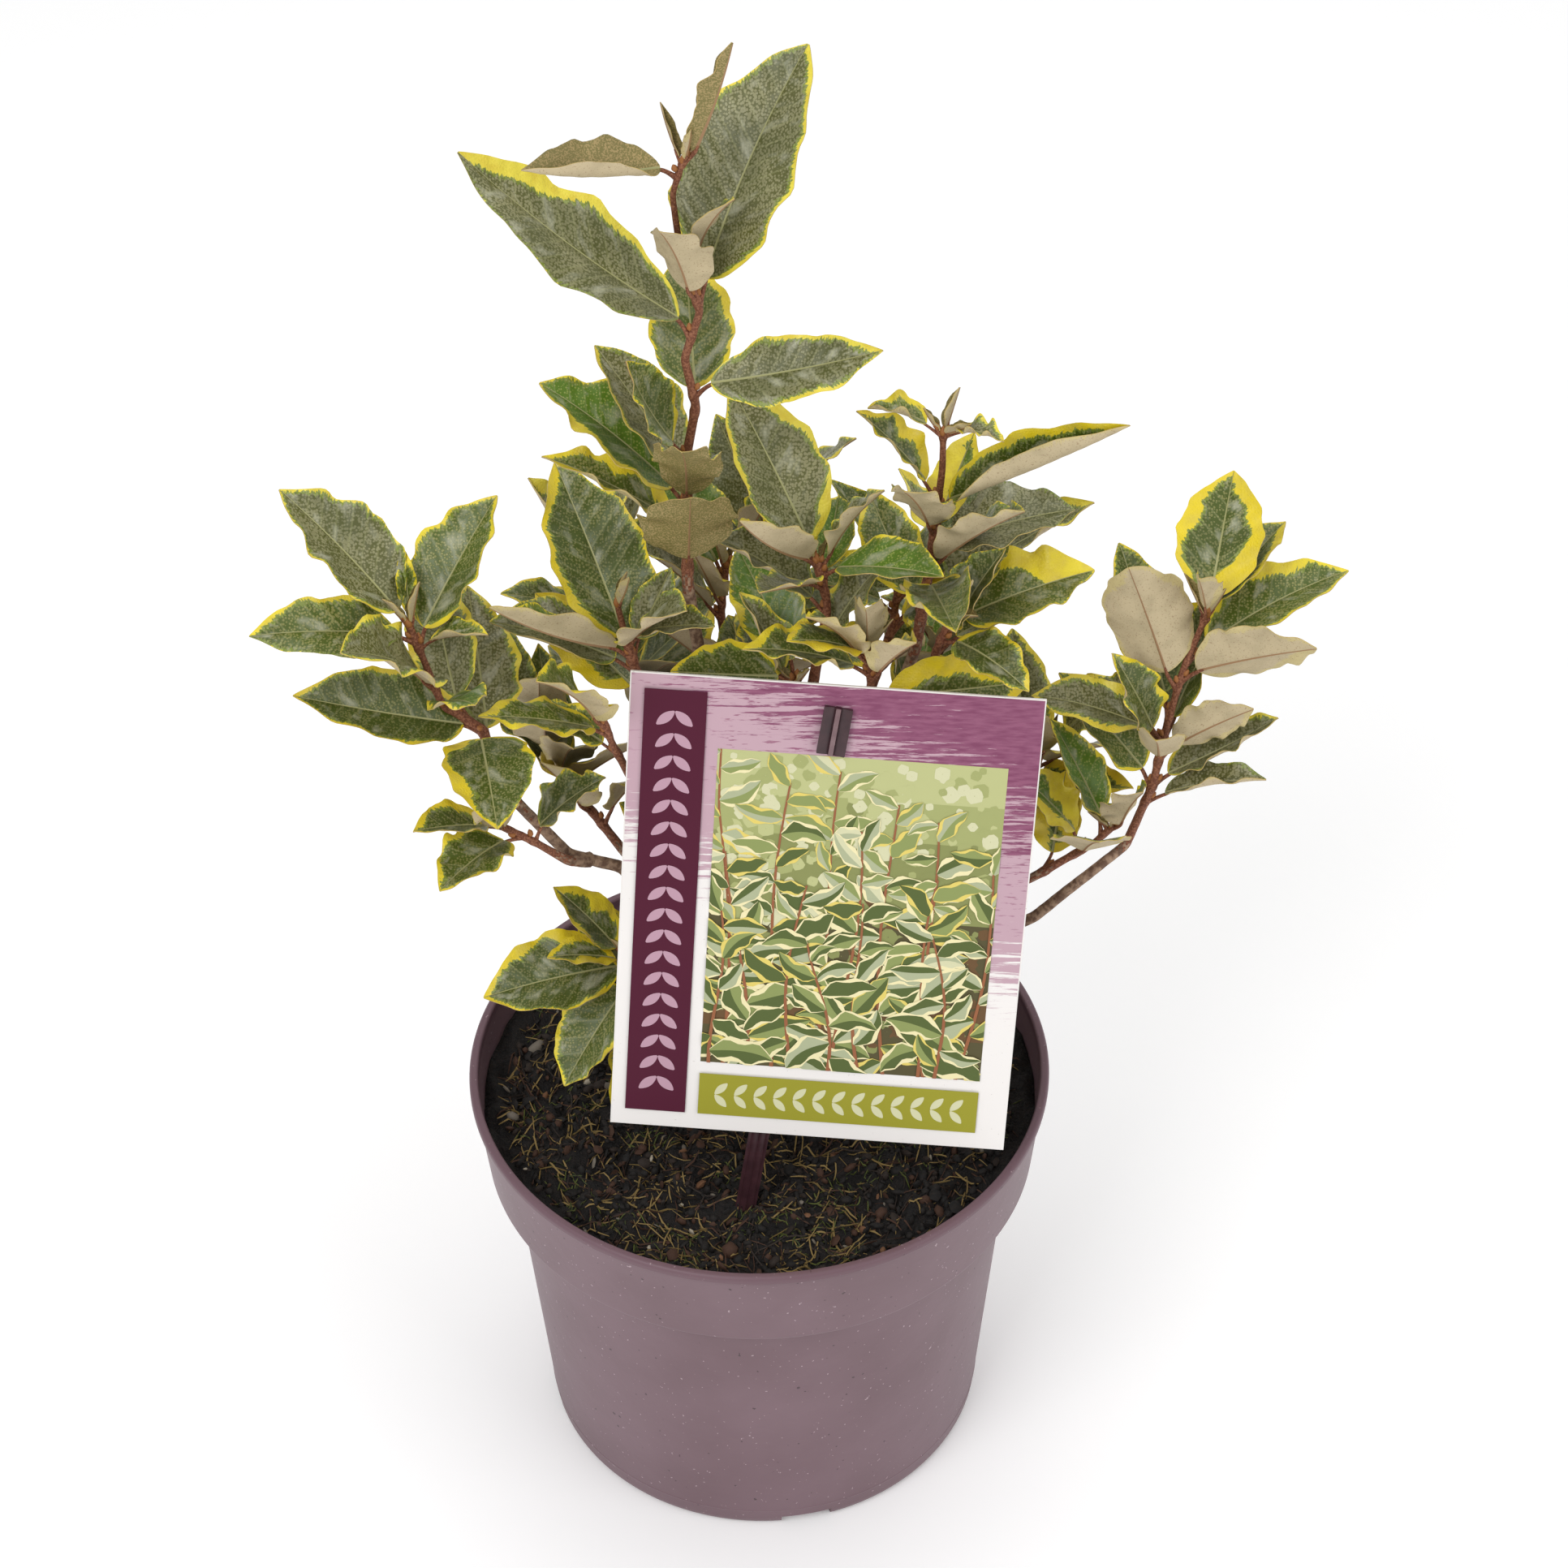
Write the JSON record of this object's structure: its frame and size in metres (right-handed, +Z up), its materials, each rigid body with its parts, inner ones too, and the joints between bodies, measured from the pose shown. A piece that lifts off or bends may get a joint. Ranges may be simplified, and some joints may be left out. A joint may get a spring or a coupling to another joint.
{
  "type": "potted ebbinges silverberry",
  "caption": "Young evergreen shrub with yellow-edged leaves, growing in a round plum nursery pot with a plain garden label on a stake.",
  "frame": {"origin": "centre of the pot's flat underside", "axes": "+Z up, -Y out of the side where the label stands, +X to the right seen from that side"},
  "size_m": [0.3274, 0.2068, 0.5307],
  "materials": {
    "pot": "plum polypropylene, satin from the mould",
    "soil": "dark peat with straw-like fibres",
    "card": "coated printed card, semi-gloss",
    "stake": "ribbed dark plum plastic",
    "bark": "cinnamon-brown scaly young bark",
    "foliage": "grey-green leaves with yellow margins and silvery undersides"
  },
  "bodies": {
    "root": {"pot": "pot", "soil": "soil", "label_card": "card", "label_stake": "stake", "trunk": "bark", "bough_leader": "bark", "bough_left": "bark", "bough_left_low": "bark", "bough_left_mid": "bark", "bough_left_front": "bark", "bough_front": "bark", "bough_centre": "bark", "bough_centre_front": "bark", "bough_upper_right": "bark", "bough_right_mid": "bark", "bough_right": "bark", "bough_right_low": "bark", "bough_low_left": "bark", "bough_back_left": "bark", "bough_back_centre": "bark", "bough_back_right": "bark", "bough_side_left": "bark", "bough_side_right": "bark", "bough_upper_back": "bark", "bough_upper_back_right": "bark", "bough_low_back": "bark", "bough_low_front": "bark", "foliage_leader": "foliage", "foliage_left": "foliage", "foliage_left_low": "foliage", "foliage_left_mid": "foliage", "foliage_left_front": "foliage", "foliage_front": "foliage", "foliage_centre": "foliage", "foliage_centre_front": "foliage", "foliage_upper_right": "foliage", "foliage_right_mid": "foliage", "foliage_right": "foliage", "foliage_right_low": "foliage", "foliage_low_left": "foliage", "foliage_back_left": "foliage", "foliage_back_centre": "foliage", "foliage_back_right": "foliage", "foliage_side_left": "foliage", "foliage_side_right": "foliage", "foliage_upper_back": "foliage", "foliage_upper_back_right": "foliage", "foliage_low_back": "foliage", "foliage_low_front": "foliage"}
  },
  "joints": []
}
